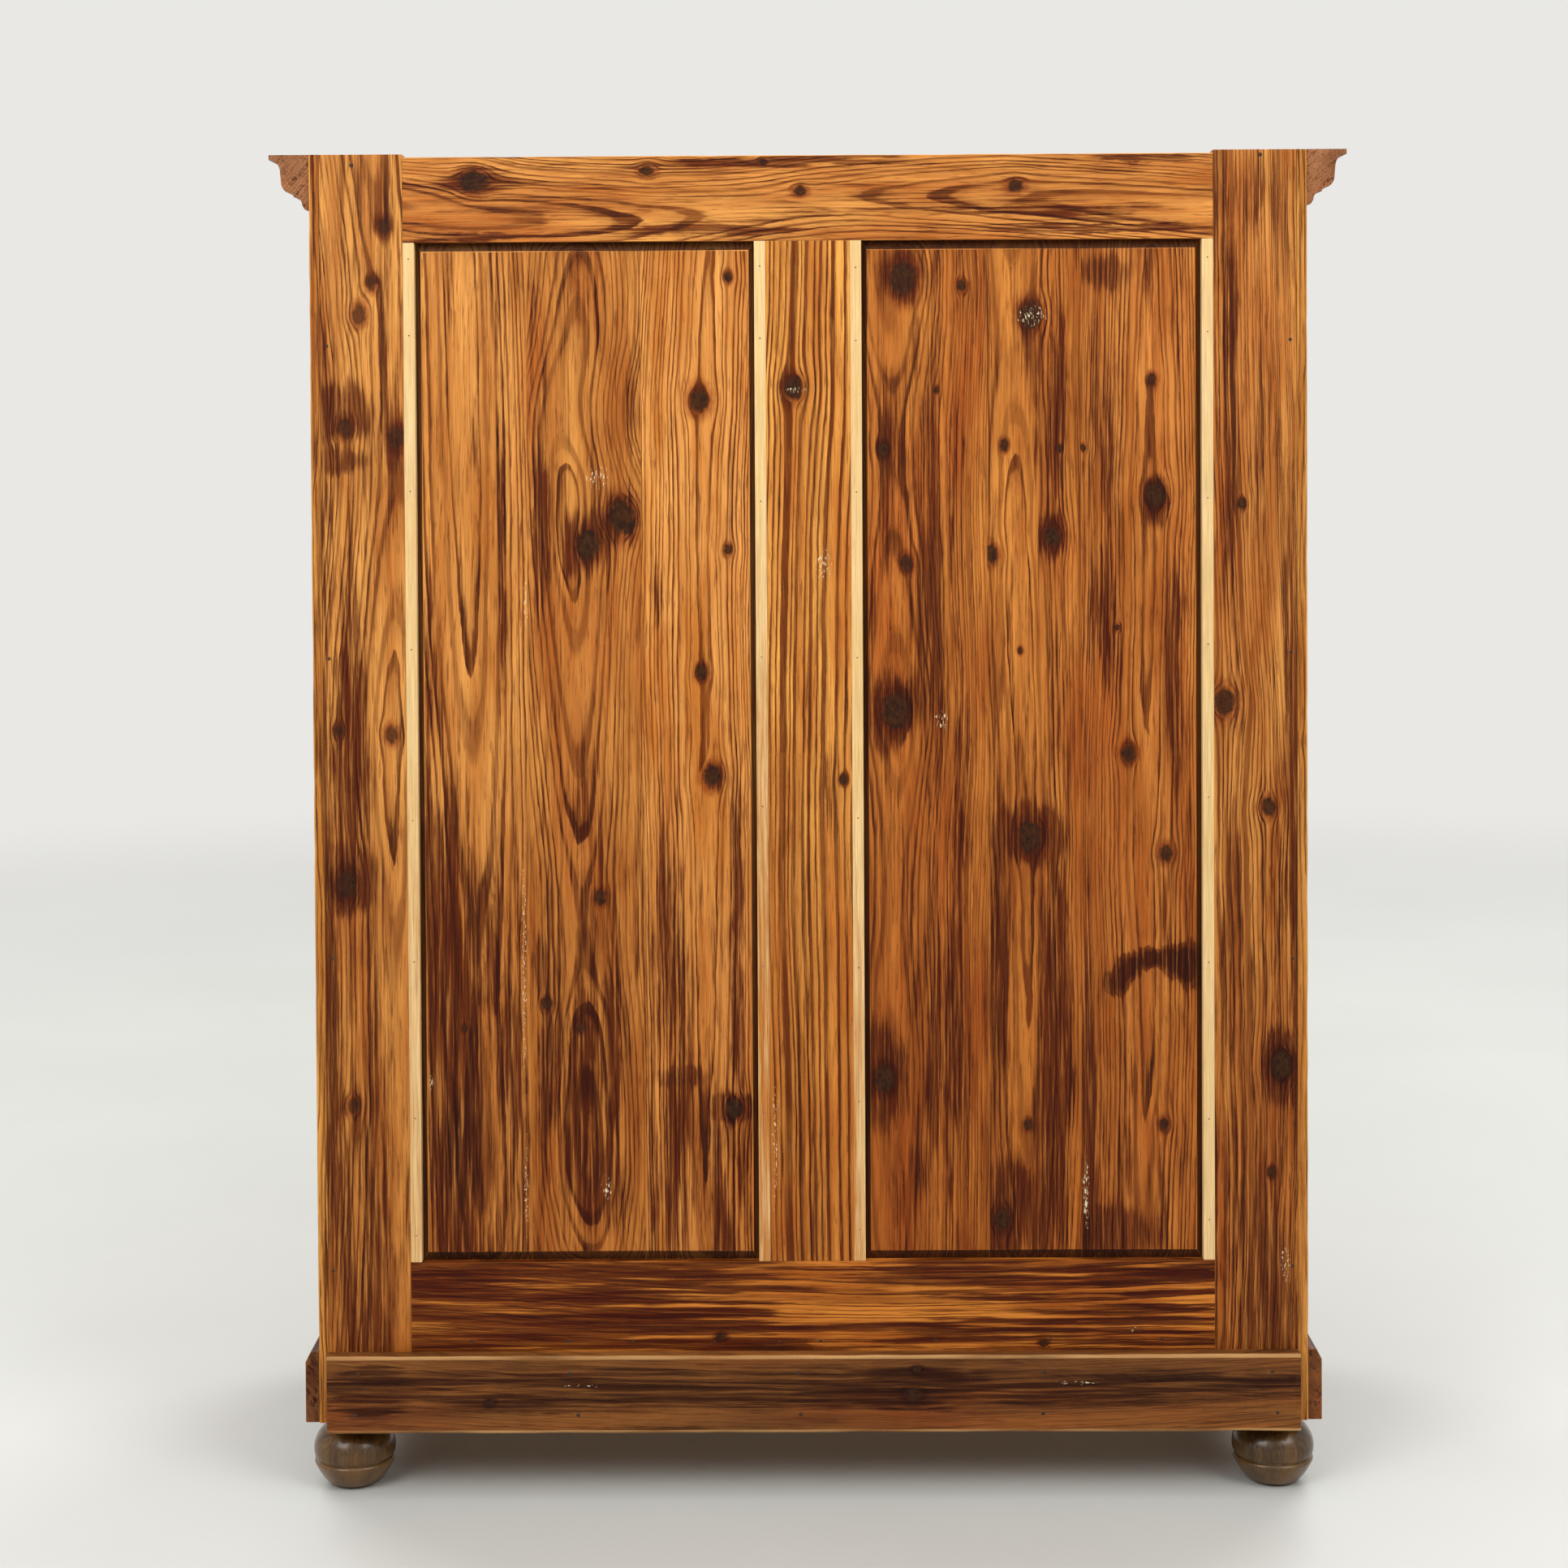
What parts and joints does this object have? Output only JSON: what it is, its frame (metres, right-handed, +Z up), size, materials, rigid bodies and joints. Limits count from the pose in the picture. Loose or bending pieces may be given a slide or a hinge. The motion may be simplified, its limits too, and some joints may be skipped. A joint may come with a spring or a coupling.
{
  "type": "linen cupboard",
  "caption": "Pine linen cupboard with framed panels on the back and sides, moulded cornice and plinth, bun feet, shelves, and a pair of lockable panelled doors.",
  "frame": {"origin": "on the floor, in the middle of the whole outline between the feet", "axes": "+Z up; the doors face -Y and the panelled back faces +Y; +X to the right as seen from the front"},
  "size_m": [1.393, 0.5914, 1.747],
  "materials": {
    "pine_frame": "old pine, oiled and waxed, satin",
    "pine_panel": "old pine boards, oiled and waxed, satin",
    "pine_fillet": "new pale pine strips, satin",
    "pine_moulding": "old pine moulding, waxed",
    "pine_plinth": "dark stained pine, waxed",
    "pine_inside": "bare old pine, matt",
    "turned_foot": "turned pine, dark and glossy",
    "old_iron": "forged iron, dark and rubbed",
    "old_brass": "aged brass plate"
  },
  "bodies": {
    "carcass": {"back_stile_left": "pine_frame", "back_stile_right": "pine_frame", "back_top_rail": "pine_frame", "back_bottom_rail": "pine_frame", "back_muntin": "pine_frame", "back_panel_left": "pine_panel", "back_panel_right": "pine_panel", "back_fillet_strips": "pine_fillet", "back_plinth_board": "pine_plinth", "left_front_post": "pine_frame", "left_rear_post": "pine_frame", "left_side_top_rail": "pine_frame", "left_side_bottom_rail": "pine_frame", "left_side_panel": "pine_panel", "right_front_post": "pine_frame", "right_rear_post": "pine_frame", "right_side_top_rail": "pine_frame", "right_side_bottom_rail": "pine_frame", "right_side_panel": "pine_panel", "floor_board": "pine_inside", "top_board": "pine_inside", "shelves": "pine_inside", "shelf_battens": "pine_inside", "frieze_rail": "pine_frame", "front_bottom_rail": "pine_frame", "cornice_front": "pine_moulding", "cornice_left": "pine_moulding", "cornice_right": "pine_moulding", "plinth_front": "pine_plinth", "plinth_left": "pine_plinth", "plinth_right": "pine_plinth", "front_feet": "turned_foot", "rear_feet": "turned_foot", "hinge_frame_leaves": "old_iron", "hinge_pins": "old_iron"},
    "left_door": {"left_door_hinge_stile": "pine_frame", "left_door_meeting_stile": "pine_frame", "left_door_top_rail": "pine_frame", "left_door_middle_rail": "pine_frame", "left_door_bottom_rail": "pine_frame", "left_door_upper_panel": "pine_panel", "left_door_lower_panel": "pine_panel", "left_door_hinge_leaves": "old_iron", "bolt_plates": "old_iron"},
    "right_door": {"right_door_hinge_stile": "pine_frame", "right_door_meeting_stile": "pine_frame", "right_door_top_rail": "pine_frame", "right_door_middle_rail": "pine_frame", "right_door_bottom_rail": "pine_frame", "right_door_upper_panel": "pine_panel", "right_door_lower_panel": "pine_panel", "right_door_hinge_leaves": "old_iron", "meeting_bead": "pine_moulding", "escutcheon": "old_brass", "lock_case": "old_iron"},
    "key": {"key": "old_iron"},
    "lock_bolt": {"lock_bolt": "old_iron"},
    "top_bolt": {"top_bolt": "old_iron"},
    "bottom_bolt": {"bottom_bolt": "old_iron"}
  },
  "joints": [
    {"name": "left_door_hinge", "type": "hinge", "parent": "carcass", "child": "left_door", "pos_m": [-0.58575, -0.25175, 0.908], "axis": [0, 0, -1], "range_deg": [0, 165]},
    {"name": "right_door_hinge", "type": "hinge", "parent": "carcass", "child": "right_door", "pos_m": [0.58575, -0.25175, 0.908], "axis": [0, 0, 1], "range_deg": [0, 165]},
    {"name": "key_turn", "type": "hinge", "parent": "right_door", "child": "key", "pos_m": [0.04125, -0.24425, 0.9085], "axis": [0, 1, 0], "range_deg": [0, 360]},
    {"name": "lock_bolt_slide", "type": "slide", "parent": "right_door", "child": "lock_bolt", "axis": [-1, 0, 0], "range_m": [0, 0.012]},
    {"name": "top_bolt_slide", "type": "slide", "parent": "left_door", "child": "top_bolt", "axis": [0, 0, 1], "range_m": [0, 0.017]},
    {"name": "bottom_bolt_slide", "type": "slide", "parent": "left_door", "child": "bottom_bolt", "axis": [0, 0, -1], "range_m": [0, 0.017]}
  ],
  "couplings": [
    {"joint": "key_turn", "follows": "lock_bolt_slide", "rad_per_m": 523.59}
  ]
}
